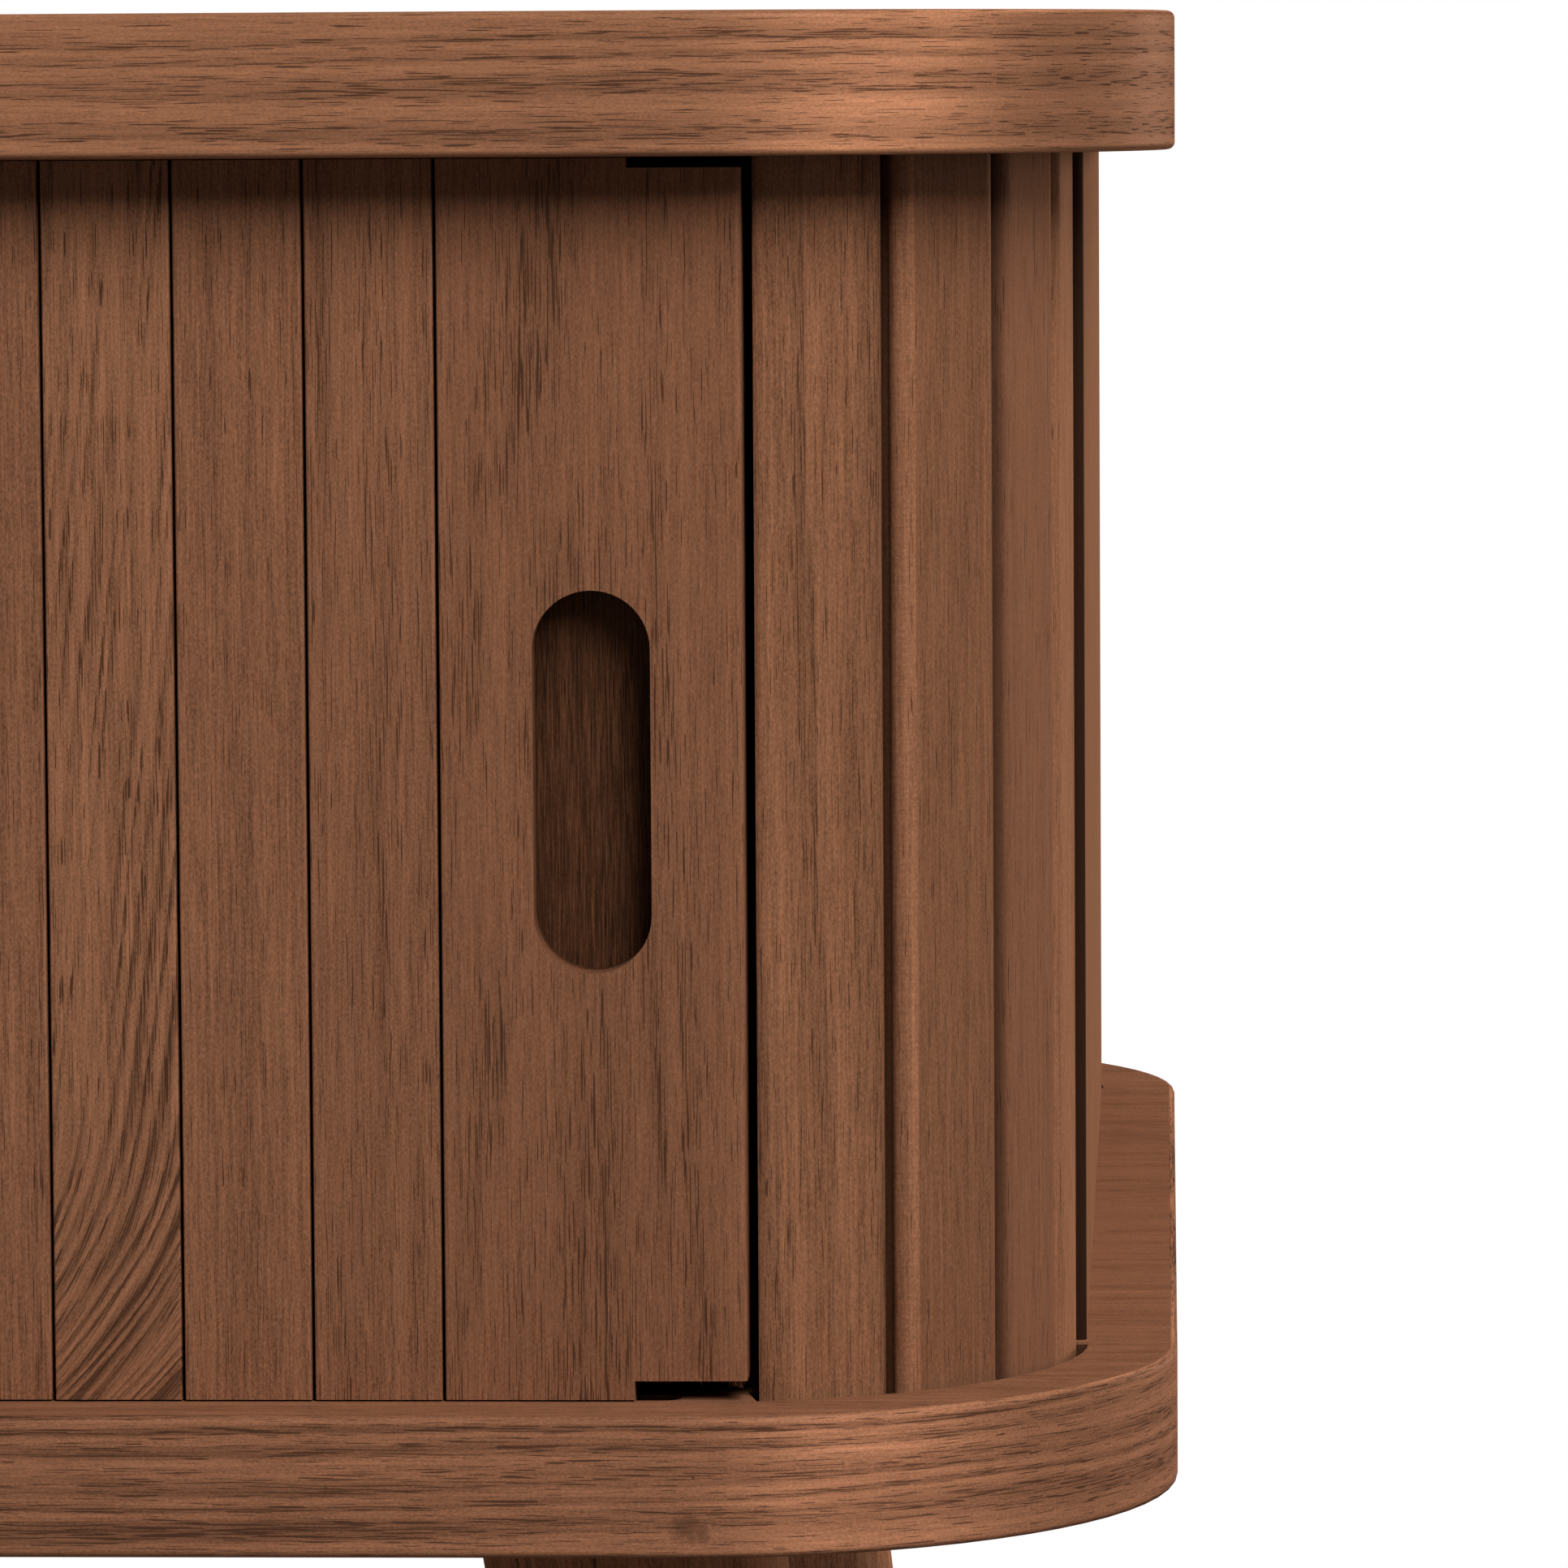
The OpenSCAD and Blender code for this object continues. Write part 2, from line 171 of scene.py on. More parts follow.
floor_mesh = bpy.data.meshes.new("studio_floor")
floor_angles = [math.tau * i / FLOOR_SIDES for i in range(FLOOR_SIDES)]
floor_mesh.from_pydata(
    [(FLOOR_RADIUS * math.cos(a), FLOOR_RADIUS * math.sin(a), 0) for a in floor_angles],
    [],
    [tuple(range(FLOOR_SIDES))],
)
floor = bpy.data.objects.new("studio_floor", floor_mesh)
bpy.context.scene.collection.objects.link(floor)
material, tree, output = bare_material("studio_floor")
place = add_node(tree, "ShaderNodeTexCoord").outputs["Object"]
fade = add_node(
    tree, "ShaderNodeMapRange",
    {"Value": length_of(tree, place), 1: FLOOR_FADE_FROM, 2: FLOOR_FADE_TO},
    interpolation_type="SMOOTHSTEP",
).outputs[0]
# Seen from below, the floor is clear and shows the table's underside
below = add_node(tree, "ShaderNodeNewGeometry").outputs["Backfacing"]
fade = math_of(tree, "MAXIMUM", fade, below)
floor_tone = math_of(
    tree, "MULTIPLY_ADD", seen_directly(tree), FLOOR_SHADE - FLOOR_BOUNCE, FLOOR_BOUNCE
)
paint = add_node(tree, "ShaderNodeBsdfDiffuse", {"Color": floor_tone})
clear = add_node(tree, "ShaderNodeBsdfTransparent")
mixed = add_node(tree, "ShaderNodeMixShader", {0: fade, 1: paint.outputs[0], 2: clear.outputs[0]})
tree.links.new(mixed.outputs[0], output.inputs["Surface"])
floor_mesh.materials.append(material)

# ---------------------------------------------------------------- top board
# A thick walnut board with round corners and lightly rounded edges. Its grain runs from side
# to side, and the growth rings show as soft bands with rows of open pores on its edge.


def tone(red, green, blue):
    """A colour as a paint maker reads it off a screen, 0 to 255, made linear."""
    return tuple(
        c / 12.92 if c <= 0.04045 else ((c + 0.055) / 1.055) ** 2.4
        for c in (red / 255, green / 255, blue / 255)
    ) + (1.0,)


def effect_group(name, takes, gives):
    """A shader node group with named sockets. Gives its tree, what goes in, and its output node."""
    group = bpy.data.node_groups.new(name, "ShaderNodeTree")
    kinds = {"v": "NodeSocketVector", "f": "NodeSocketFloat", "c": "NodeSocketColor"}
    for title, kind in takes:
        group.interface.new_socket(title, in_out="INPUT", socket_type=kinds[kind])
    for title, kind in gives:
        group.interface.new_socket(title, in_out="OUTPUT", socket_type=kinds[kind])
    return group, add_node(group, "NodeGroupInput").outputs, add_node(group, "NodeGroupOutput")


def grain_noise(tree, place, stretch, detail=1.0, rough=0.5):
    """Noise drawn out along the grain, 0 to 1. stretch is its features per millimetre, by axis."""
    spot = vector_of(tree, "MULTIPLY", place, stretch)
    return add_node(
        tree, "ShaderNodeTexNoise",
        {"Vector": spot, "Scale": 1.0, "Detail": detail, "Roughness": rough},
    ).outputs


def mixed_tone(tree, share, first, second):
    """One colour where share is 0 and the other where it is 1."""
    return add_node(
        tree, "ShaderNodeMix", {0: share, 6: first, 7: second}, data_type="RGBA"
    ).outputs[2]


# Walnut cut from a log. Place is in millimetres with the grain along Z; Pith is where the log's
# heart passes, and Lean how far it leans for each millimetre of grain, which draws the arches.
walnut_figure, wood_in, wood_out = effect_group(
    "walnut_figure",
    [
        ("Place", "v"), ("Log Part", "v"), ("Pith", "v"), ("Lean", "v"), ("Ring Width", "f"),
        ("Wander", "f"), ("Curl", "f"), ("Curl Below", "f"), ("Band", "f"), ("Streak", "f"),
        ("Pores", "f"), ("Fleck", "f"), ("Cloud", "f"), ("Fading", "f"),
        ("Light Wood", "c"), ("Dark Wood", "c"), ("Pore Brown", "c"),
    ],
    [("Wood Color", "c"), ("Open Grain", "f"), ("Relief", "f")],
)
tree = walnut_figure
# Below a height the figure swerves aside more and more, as it does beside a branch
along = axis_of(tree, wood_in["Place"], "Z")
under = math_of(tree, "MAXIMUM", math_of(tree, "SUBTRACT", wood_in["Curl Below"], along), 0.0)
swerve = math_of(tree, "MULTIPLY", math_of(tree, "MULTIPLY", under, under), wood_in["Curl"])
swerve = add_node(tree, "ShaderNodeCombineXYZ", {0: swerve}).outputs[0]
swerved = vector_of(tree, "ADD", wood_in["Place"], swerve)
spot = vector_of(tree, "ADD", swerved, wood_in["Log Part"])
# The rings lie round the leaning heart; a slow bend and small kinks keep them from being circles
MIDDLE_GREY, KINK_MM = (0.5, 0.5, 0.5), 1.7
slow = grain_noise(tree, spot, (0.03, 0.03, 0.0042), detail=1.5)["Color"]
bend = vector_of(tree, "SUBTRACT", slow, MIDDLE_GREY)
bend = vector_of(tree, "SCALE", bend, Scale=wood_in["Wander"])
heart = vector_of(tree, "SCALE", wood_in["Lean"], Scale=along)
heart = vector_of(tree, "ADD", wood_in["Pith"], heart)
from_heart = vector_of(tree, "ADD", vector_of(tree, "SUBTRACT", swerved, heart), bend)
radius = length_of(tree, vector_of(tree, "MULTIPLY", from_heart, (1, 1, 0)))
kink = grain_noise(tree, spot, (0.22, 0.22, 0.03), detail=2.0)["Fac"]
radius = math_of(tree, "MULTIPLY_ADD", kink, KINK_MM, radius)
years = math_of(tree, "DIVIDE", radius, wood_in["Ring Width"])
# Good and bad years make the rings wide and narrow
YEARS_UNEVEN, YEARS_SPREAD = 0.37, 2.6
uneven = add_node(
    tree, "ShaderNodeTexNoise", {"W": years, "Scale": YEARS_UNEVEN, "Detail": 1.0},
    noise_dimensions="1D",
).outputs["Fac"]
years = math_of(tree, "MULTIPLY_ADD", uneven, YEARS_SPREAD, years)
season = math_of(tree, "FRACT", years)
early = add_node(tree, "ShaderNodeValToRGB", {0: season})
ramp = early.color_ramp
ramp.interpolation = "EASE"
# Each year starts with a dark porous band and fades into plain late wood
YEAR_ENDS = 0.25
YEAR_STEPS = ((0.14, 0.95), (0.36, 0.75), (0.60, 0.25), (0.84, 0.04))
for end in ramp.elements:
    end.color = (YEAR_ENDS, YEAR_ENDS, YEAR_ENDS, 1)
for step, level in YEAR_STEPS:
    ramp.elements.new(step).color = (level, level, level, 1)
early = early.outputs["Color"]
# Here and there the bands fade out for a while
FADE_FROM, FADE_TO = 0.36, 0.62
fade = grain_noise(tree, spot, (0.11, 0.11, 0.009), detail=1.0)["Fac"]
fade = add_node(tree, "ShaderNodeMapRange", {"Value": fade, 1: FADE_FROM, 2: FADE_TO}).outputs[0]
faded = math_of(tree, "MULTIPLY", math_of(tree, "SUBTRACT", 1.0, fade), wood_in["Fading"])
early = math_of(tree, "MULTIPLY", early, math_of(tree, "SUBTRACT", 1.0, faded))

fibre = grain_noise(tree, spot, (2.7, 2.7, 0.07), detail=2.5, rough=0.75)["Fac"]
strand = grain_noise(tree, spot, (0.95, 0.95, 0.014), detail=2.0)["Fac"]
speckle = grain_noise(tree, spot, (3.2, 3.2, 1.7), detail=1.5, rough=0.7)["Fac"]
cloud = grain_noise(tree, spot, (0.05, 0.05, 0.006), detail=2.0)["Fac"]
pore_field = grain_noise(tree, spot, (5.6, 5.6, 0.14), detail=0.0)["Fac"]
# A pore opens where its field is over the bar, which is lowest in the early wood
PORE_BAR, EARLY_DROP, PORE_EDGE = 0.75, 0.17, 0.05
porous = math_of(tree, "MULTIPLY", early, wood_in["Pores"])
bar = math_of(tree, "MULTIPLY_ADD", porous, -EARLY_DROP, PORE_BAR)
pore = add_node(
    tree, "ShaderNodeMapRange",
    {"Value": pore_field, 1: bar, 2: math_of(tree, "ADD", bar, PORE_EDGE), 3: 0.0, 4: 1.0},
    interpolation_type="SMOOTHSTEP",
).outputs[0]
FLECK_FROM, FLECK_TO = 0.66, 0.78
fleck = grain_noise(tree, spot, (3.6, 3.6, 1.3), detail=0.0)["Fac"]
fleck = add_node(
    tree, "ShaderNodeMapRange", {"Value": fleck, 1: FLECK_FROM, 2: FLECK_TO}
).outputs[0]

# Shares of the three grains, and the level at which together they leave the tone alone
FIBRE_SHARE, STRAND_SHARE, SPECKLE_SHARE = 1.1, 0.55, 1.05
GRAIN_LEVEL = (FIBRE_SHARE + STRAND_SHARE + SPECKLE_SHARE) / 2
fine = math_of(tree, "MULTIPLY", strand, STRAND_SHARE)
fine = math_of(tree, "MULTIPLY_ADD", fibre, FIBRE_SHARE, fine)
fine = math_of(tree, "MULTIPLY_ADD", speckle, SPECKLE_SHARE, fine)
shade = math_of(tree, "MULTIPLY", math_of(tree, "SUBTRACT", fine, GRAIN_LEVEL), wood_in["Streak"])
clouded = math_of(tree, "MULTIPLY", math_of(tree, "SUBTRACT", cloud, 0.5), wood_in["Cloud"])
shade = math_of(tree, "ADD", shade, clouded)
shade = math_of(tree, "ADD", math_of(tree, "MULTIPLY_ADD", fleck, wood_in["Fleck"], 1.0), shade)
band = math_of(tree, "MULTIPLY", early, wood_in["Band"], clamp=True)
banded = mixed_tone(tree, band, wood_in["Light Wood"], wood_in["Dark Wood"])
toned = vector_of(tree, "SCALE", banded, Scale=shade)
# How dark a pore is, how open pores and early wood are, and how far the fibres stand up
PORE_STRENGTH, PORE_OPEN, EARLY_OPEN, FIBRE_RELIEF = 0.85, 0.8, 0.25, 0.35
pore_share = math_of(tree, "MULTIPLY", pore, PORE_STRENGTH)
pored = mixed_tone(tree, pore_share, toned, wood_in["Pore Brown"])
tree.links.new(pored, wood_out.inputs["Wood Color"])
open_grain = math_of(tree, "MULTIPLY", early, EARLY_OPEN)
open_grain = math_of(tree, "MULTIPLY_ADD", pore, PORE_OPEN, open_grain)
tree.links.new(open_grain, wood_out.inputs["Open Grain"])
relief = math_of(tree, "SUBTRACT", math_of(tree, "MULTIPLY", fibre, FIBRE_RELIEF), pore)
tree.links.new(relief, wood_out.inputs["Relief"])

LIGHT_WALNUT = tone(134, 90, 64)
DARK_WALNUT = tone(106, 69, 49)
PORE_BROWN = tone(62, 39, 27)
GRAIN_RELIEF, RELIEF_STRENGTH = 0.00006, 0.8
# How rough the wood's own colour is, and how much rougher the sheen gets over open grain
WOOD_ROUGHNESS, OPEN_GRAIN_ROUGHER = 0.8, 0.15
# The oil sinks in, so the sheen comes off the wood fibres and takes their colour
WALNUT_SHEEN = (1.0, 0.56, 0.38)
ALONG_X = (0.0, math.radians(-90), 0.0)
ALONG_Z = (0.0, 0.0, 0.0)


def walnut(
    name, turn, log_part, pith, lean=(0, 0, 0), ring=3.2, wander=9.0, curl=0.0, curl_below=0.0,
    band=0.7, streak=1.0, pores=1.0, fleck=0.10, cloud=0.22, fading=0.75,
    light=LIGHT_WALNUT, dark=DARK_WALNUT, rough=0.50, sheen=0.006,
):
    """Oiled walnut. turn lays the log's axis along the grain, and log_part is the place in the log.

    Gives the material, its tree, its walnut_figure node and the shader that takes the colour.
    """
    material, tree, output = bare_material(name)
    place = add_node(tree, "ShaderNodeTexCoord").outputs["Object"]
    place = add_node(
        tree, "ShaderNodeMapping", {"Vector": place, "Rotation": turn, "Scale": (1000, 1000, 1000)}
    ).outputs[0]
    figure = add_node(tree, "ShaderNodeGroup", node_tree=walnut_figure)
    tree.links.new(place, figure.inputs["Place"])
    for socket, value in {
        "Log Part": log_part, "Pith": pith, "Lean": lean, "Ring Width": ring, "Wander": wander,
        "Curl": curl, "Curl Below": curl_below, "Band": band, "Streak": streak, "Pores": pores,
        "Fleck": fleck, "Cloud": cloud, "Fading": fading,
        "Light Wood": light, "Dark Wood": dark, "Pore Brown": PORE_BROWN,
    }.items():
        figure.inputs[socket].default_value = value
    roughness = math_of(
        tree, "MULTIPLY_ADD", figure.outputs["Open Grain"], OPEN_GRAIN_ROUGHER, rough, clamp=True
    )
    bump = add_node(
        tree, "ShaderNodeBump",
        {"Height": figure.outputs["Relief"], "Distance": GRAIN_RELIEF, "Strength": RELIEF_STRENGTH},
    ).outputs[0]
    oiled = add_node(
        tree, "ShaderNodeBsdfPrincipled",
        {
            "Base Color": figure.outputs["Wood Color"], "Roughness": WOOD_ROUGHNESS, "Normal": bump,
            "Specular IOR Level": 0.0,
        },
    )
    lustre = add_node(
        tree, "ShaderNodeBsdfGlossy",
        {
            "Color": (*(sheen * c for c in WALNUT_SHEEN), 1.0), "Roughness": roughness,
            "Normal": bump,
        },
    )
    surface = add_node(tree, "ShaderNodeAddShader", {0: oiled.outputs[0], 1: lustre.outputs[0]})
    tree.links.new(surface.outputs[0], output.inputs["Surface"])
    return material, tree, figure, oiled


def smooth_step(tree, value, start, end, low=0.0, high=1.0):
    """Goes smoothly from low to high as value goes from start to end."""
    return add_node(
        tree, "ShaderNodeMapRange", {"Value": value, 1: start, 2: end, 3: low, 4: high},
        interpolation_type="SMOOTHSTEP",
    ).outputs[0]


def place_in_mm(tree):
    """Where a point lies on the piece, in millimetres."""
    place = add_node(tree, "ShaderNodeTexCoord").outputs["Object"]
    return vector_of(tree, "SCALE", place, Scale=1000.0)


# A strip of the same walnut is bent round a board's edge, so its grain follows the outline and
# runs round the corners. Core is half the outline's size less the corners' radius; Lip is the
# distance out from there at which the strip starts. A painted highlight makes the strip paler where
# its bend starts, and painted shade makes it darker past it. Place is in millimetres, and Flat
# Place is the same in the board's own log.
edge_strip, strip_in, strip_out = effect_group(
    "edge_strip",
    [
        ("Place", "v"), ("Flat Place", "v"), ("Facing", "v"), ("Core", "v"),
        ("Lip", "f"), ("Bend Painted Shade", "f"), ("Face Tone", "f"),
    ],
    [("Log Place", "v"), ("Tone", "f"), ("On Strip", "f")],
)
tree = edge_strip
size = vector_of(tree, "ABSOLUTE", strip_in["Place"])
kept = vector_of(tree, "MINIMUM", size, strip_in["Core"])
out = vector_of(tree, "MULTIPLY", vector_of(tree, "SUBTRACT", size, kept), (1, 1, 0))
reach = length_of(tree, out)
out, kept, core, there = (
    add_node(tree, "ShaderNodeSeparateXYZ", {0: value}).outputs
    for value in (out, kept, strip_in["Core"], strip_in["Place"])
)
bend = math_of(tree, "MULTIPLY", math_of(tree, "ARCTAN2", out["X"], out["Y"]), reach)
run = math_of(tree, "ADD", bend, math_of(tree, "SUBTRACT", kept["X"], kept["Y"]))
run = math_of(tree, "ADD", run, core["Y"])
run = math_of(tree, "MULTIPLY", run, math_of(tree, "SIGN", there["X"]))
wrapped = add_node(
    tree, "ShaderNodeCombineXYZ", {0: math_of(tree, "MULTIPLY", there["Z"], -1.0), 1: reach, 2: run}
).outputs[0]
on_strip = math_of(tree, "GREATER_THAN", reach, strip_in["Lip"])
tree.links.new(on_strip, strip_out.inputs["On Strip"])
log_place = add_node(
    tree, "ShaderNodeMix", {0: on_strip, 4: strip_in["Flat Place"], 5: wrapped}, data_type="VECTOR"
).outputs[1]
tree.links.new(log_place, strip_out.inputs["Log Place"])
# How far round the bend the painted highlight comes in and goes out, how patchy it is, and where
# the painted shade starts; painted shade also darkens the edge's two arrises
HIGHLIGHT_IN, HIGHLIGHT_OUT, HIGHLIGHT_LEAST, HIGHLIGHT_MOST = (0.02, 0.34), (0.42, 0.78), 0.32, 0.75
PAINTED_SHADE_IN, ARRIS_IN, ARRIS_PAINTED_SHADE = (0.50, 0.80), (0.15, 0.6), 0.78
facing = add_node(tree, "ShaderNodeSeparateXYZ", {0: strip_in["Facing"]}).outputs
cross = math_of(tree, "ABSOLUTE", facing["X"])
painted_highlight = smooth_step(tree, cross, *HIGHLIGHT_IN)
painted_highlight = math_of(tree, "MULTIPLY", painted_highlight, smooth_step(tree, cross, *HIGHLIGHT_OUT, 1.0, 0.0))
patch = grain_noise(tree, wrapped, (0.10, 0.10, 0.02), detail=1.0)["Fac"]
patch = smooth_step(tree, patch, 0.35, 0.62, HIGHLIGHT_LEAST, HIGHLIGHT_MOST)
painted_highlight = math_of(tree, "MULTIPLY", painted_highlight, patch)
painted_bend_shade = smooth_step(tree, cross, *PAINTED_SHADE_IN, 1.0, strip_in["Bend Painted Shade"])
strip_painted_light = math_of(tree, "MULTIPLY", math_of(tree, "ADD", painted_highlight, 1.0), painted_bend_shade)
# Painted shade darkens the arrises, where the edge turns towards the faces
upward = math_of(tree, "ABSOLUTE", facing["Z"])
arris_painted_shade = smooth_step(tree, upward, *ARRIS_IN, 1.0, ARRIS_PAINTED_SHADE)
strip_painted_light = math_of(tree, "MULTIPLY", strip_painted_light, arris_painted_shade)
strip_painted_light = add_node(
    tree, "ShaderNodeMix", {0: on_strip, 2: strip_in["Face Tone"], 3: strip_painted_light}, data_type="FLOAT"
).outputs[0]
tree.links.new(strip_painted_light, strip_out.inputs["Tone"])

CORNER_RADIUS, STRIP_THICKNESS = 76.0, 1.1
FACE_PLAINNESS, FACE_TONE = 0.4, 0.83


def edge_banded(name, tree, figure, oiled, bend_painted_shade):
    """Lays the edge strip round a board that walnut() has made. Gives its colour and the strip."""
    strip = add_node(tree, "ShaderNodeGroup", node_tree=edge_strip)
    low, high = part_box(name)
    core = [(high[axis] - low[axis]) * 500 - CORNER_RADIUS for axis in (0, 1)]
    strip.inputs["Core"].default_value = (*core, 0)
    strip.inputs["Lip"].default_value = CORNER_RADIUS - STRIP_THICKNESS
    strip.inputs["Bend Painted Shade"].default_value = bend_painted_shade
    strip.inputs["Face Tone"].default_value = FACE_TONE
    normal = add_node(tree, "ShaderNodeTexCoord").outputs["Normal"]
    tree.links.new(place_in_mm(tree), strip.inputs["Place"])
    tree.links.new(figure.inputs["Place"].links[0].from_socket, strip.inputs["Flat Place"])
    tree.links.new(normal, strip.inputs["Facing"])
    tree.links.new(strip.outputs["Log Place"], figure.inputs["Place"])
    # The board's faces are plainer than the strip on its edge
    for socket in ("Band", "Pores"):
        bold = figure.inputs[socket].default_value
        plain = bold * FACE_PLAINNESS
        level = math_of(tree, "MULTIPLY_ADD", strip.outputs["On Strip"], bold - plain, plain)
        tree.links.new(level, figure.inputs[socket])
    wood = vector_of(tree, "SCALE", figure.outputs["Wood Color"], Scale=strip.outputs["Tone"])
    tree.links.new(wood, oiled.inputs["Base Color"])
    return wood, strip


def dress(name, material):
    """Gives a CAD node its material."""
    mesh = nodes[name].data
    mesh.materials.clear()
    mesh.materials.append(material)


top_wood, tree, figure, oiled = walnut(
    "top_board_walnut", ALONG_X, (310, 40, 90), (478, -60, 0), lean=(0.012, 0.05, 0),
    ring=4.4, wander=12, band=0.65, streak=0.80, pores=1.1, fading=0.30,
    light=tone(148, 100, 72), dark=tone(104, 69, 50), rough=0.42, sheen=0.012,
)
# Past the bend, the painted shade leaves this share of the light on the strip
edge_banded("top_board", tree, figure, oiled, bend_painted_shade=0.70)
dress("top_board", top_wood)

# ---------------------------------------------------------------- base board
# The same walnut board as the top, with the door's straight groove and four curved grooves cut
# in its upper face. A small dark knot shows low on its front edge, left of the round corner.
base_wood, tree, figure, oiled = walnut(
    "base_board_walnut", ALONG_X, (40, 210, 520), (232, 70, 0), lean=(-0.010, 0.04, 0),
    ring=4.0, wander=12, band=0.78, streak=1.05, pores=1.5,
    light=tone(142, 95, 69), dark=tone(92, 60, 43), rough=0.42, sheen=0.012,
)
# Past the bend, the painted shade leaves this share of the light on the strip
edged, strip = edge_banded("base_board", tree, figure, oiled, bend_painted_shade=0.94)
place = place_in_mm(tree)
# Painted shade darkens the grooves inside: the light left there, and how far from the upper face
# and from the underside it starts
GROOVE_SHADE, BELOW_FACE, OVER_UNDERSIDE = 0.22, 0.3, 4.0
height = axis_of(tree, place, "Z")
base_low, base_high = (corner[2] * 1000 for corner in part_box("base_board"))
under_face = math_of(tree, "LESS_THAN", height, base_high - BELOW_FACE)
over_underside = math_of(tree, "GREATER_THAN", height, base_low + OVER_UNDERSIDE)
in_groove = math_of(tree, "MULTIPLY", under_face, over_underside)
off_strip = math_of(tree, "SUBTRACT", 1.0, strip.outputs["On Strip"])
in_groove = math_of(tree, "MULTIPLY", in_groove, off_strip)
groove_painted_shade = math_of(tree, "MULTIPLY_ADD", in_groove, GROOVE_SHADE - 1, 1.0)
edged = vector_of(tree, "SCALE", edged, Scale=groove_painted_shade)

# The share of a dark spot's reach that is fully dark
SPOT_CORE = 0.35


def spot_at(tree, place, middle, half_size, power):
    """A soft-edged spot, from power in its middle to 0 outside it. Sizes are in millimetres."""
    off = vector_of(tree, "DIVIDE", vector_of(tree, "SUBTRACT", place, middle), half_size)
    spot = smooth_step(tree, length_of(tree, off), SPOT_CORE, 1.0, 1.0, 0.0)
    return math_of(tree, "MULTIPLY", spot, power)


# A smudged knot, its core and two specks: middle and half size in millimetres, and strength
BASE_MARKS = (
    ((205.6, -250.0, 304.8), (3.4, 4.0, 3.2), 0.55),
    ((208.2, -250.0, 303.6), (1.2, 4.0, 1.9), 0.45),
    ((206.67, -250.0, 312.46), (0.4, 3.0, 0.3), 0.8),
    ((253.85, -238.0, 318.8), (0.5, 3.0, 0.3), 0.9),
)
# The edges of the marks over this size are ragged, by up to so many millimetres
RAGGED_FROM, RAGGED_MM = 1.0, 2.4
ragged = grain_noise(tree, place, (0.9, 0.9, 1.4), detail=2.0)["Color"]
shift = vector_of(tree, "SCALE", vector_of(tree, "SUBTRACT", ragged, MIDDLE_GREY), Scale=RAGGED_MM)
nudged = vector_of(tree, "ADD", place, shift)
for middle, half_size, power in BASE_MARKS:
    mark = spot_at(tree, nudged if half_size[0] > RAGGED_FROM else place, middle, half_size, power)
    edged = mixed_tone(tree, mark, edged, PORE_BROWN)
tree.links.new(edged, oiled.inputs["Base Color"])
dress("base_board", base_wood)

# ---------------------------------------------------------------- side panels, back panel, divider
# Flat walnut panels between the two boards, grain upright. The side panels' outer edges are
# rounded, and they start just behind the last slat of each corner.
# How far in from each end of a side panel the painted shade reaches, how soft its edge is, and its
# brown
END_PAINTED_SHADE, END_PAINTED_SHADE_BLUR = 1.6, 0.4
PAINTED_SHADE_BROWN = tone(40, 24, 16)
for i, name in enumerate(("side_panel_right", "side_panel_left", "back_panel", "divider")):
    panel_wood, tree, figure, oiled = walnut(
        name + "_walnut", ALONG_Z, (90 * i, 37 * i, 210 * i), (60 - 30 * i, 340, 0),
        lean=(0.02, 0.03, 0), ring=5.0, wander=22, band=0.55, streak=0.9,
        light=tone(130, 88, 63), dark=tone(106, 70, 50),
    )
    if name.startswith("side_panel"):
        # Painted shade darkens both ends nearly black, so each reads as a dark line beside the last
        # slat
        from_middle = math_of(tree, "ABSOLUTE", axis_of(tree, place_in_mm(tree), "Y"))
        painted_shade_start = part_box(name)[1][1] * 1000 - END_PAINTED_SHADE
        painted_shade = smooth_step(tree, from_middle, painted_shade_start, painted_shade_start + END_PAINTED_SHADE_BLUR)
        with_painted_shade = mixed_tone(tree, painted_shade, figure.outputs["Wood Color"], PAINTED_SHADE_BROWN)
        tree.links.new(with_painted_shade, oiled.inputs["Base Color"])
    dress(name, panel_wood)

# ---------------------------------------------------------------- corner liners
# Thin bent sheets that close each round corner behind its slats. Their dark face shows only
# as a brown line in the gaps between the slats.
CORNERS = ("front_right", "front_left", "rear_right", "rear_left")
for i, corner in enumerate(CORNERS):
    liner_wood = walnut(
        "liner_" + corner + "_walnut", ALONG_Z, (130 * i, 400, 60 * i), (200, 200, 0), ring=6.0,
        light=tone(92, 60, 42), dark=tone(70, 45, 31), rough=0.6, sheen=0.01,
    )[0]
    dress("corner_liner_" + corner, liner_wood)

# ---------------------------------------------------------------- corner slats
# Four fixed walnut slats stand upright round each corner, with their ends in a curved groove.
# Each has its own figure: the first is streaked, the second finely mottled, the others plain.
dice = random.Random(11)
CORNER_SLAT_LOOKS = (
    dict(
        ring=5.5, band=0.50, streak=1.25, pores=0.75,
        light=tone(130, 87, 62), dark=tone(92, 61, 43),
    ),
    dict(
        ring=3.4, band=0.35, streak=1.0, pores=0.25, fleck=0.20,
        light=tone(120, 80, 57), dark=tone(100, 66, 47),
    ),
    dict(
        ring=3.0, band=0.30, streak=0.6, pores=0.25,
        light=tone(119, 79, 57), dark=tone(102, 67, 48),
    ),
    dict(
        ring=3.8, band=0.30, streak=0.8, pores=0.40,
        light=tone(134, 90, 64), dark=tone(116, 77, 55),
    ),
)
# Each is sawn from another stick: the reach of its place in the log, how far the heart lies aside
# of and behind its middle, all in millimetres, and how much it leans
LOG_REACH, HEART_ASIDE, HEART_BEHIND, LEANING = 900, 30, (40, 70), 0.02
# Which way the arris nearer the middle of the front or back faces, at the right rear corner
ARRIS_WAYS = {2: (-0.73, 0.69), 3: (-0.445, 0.896)}
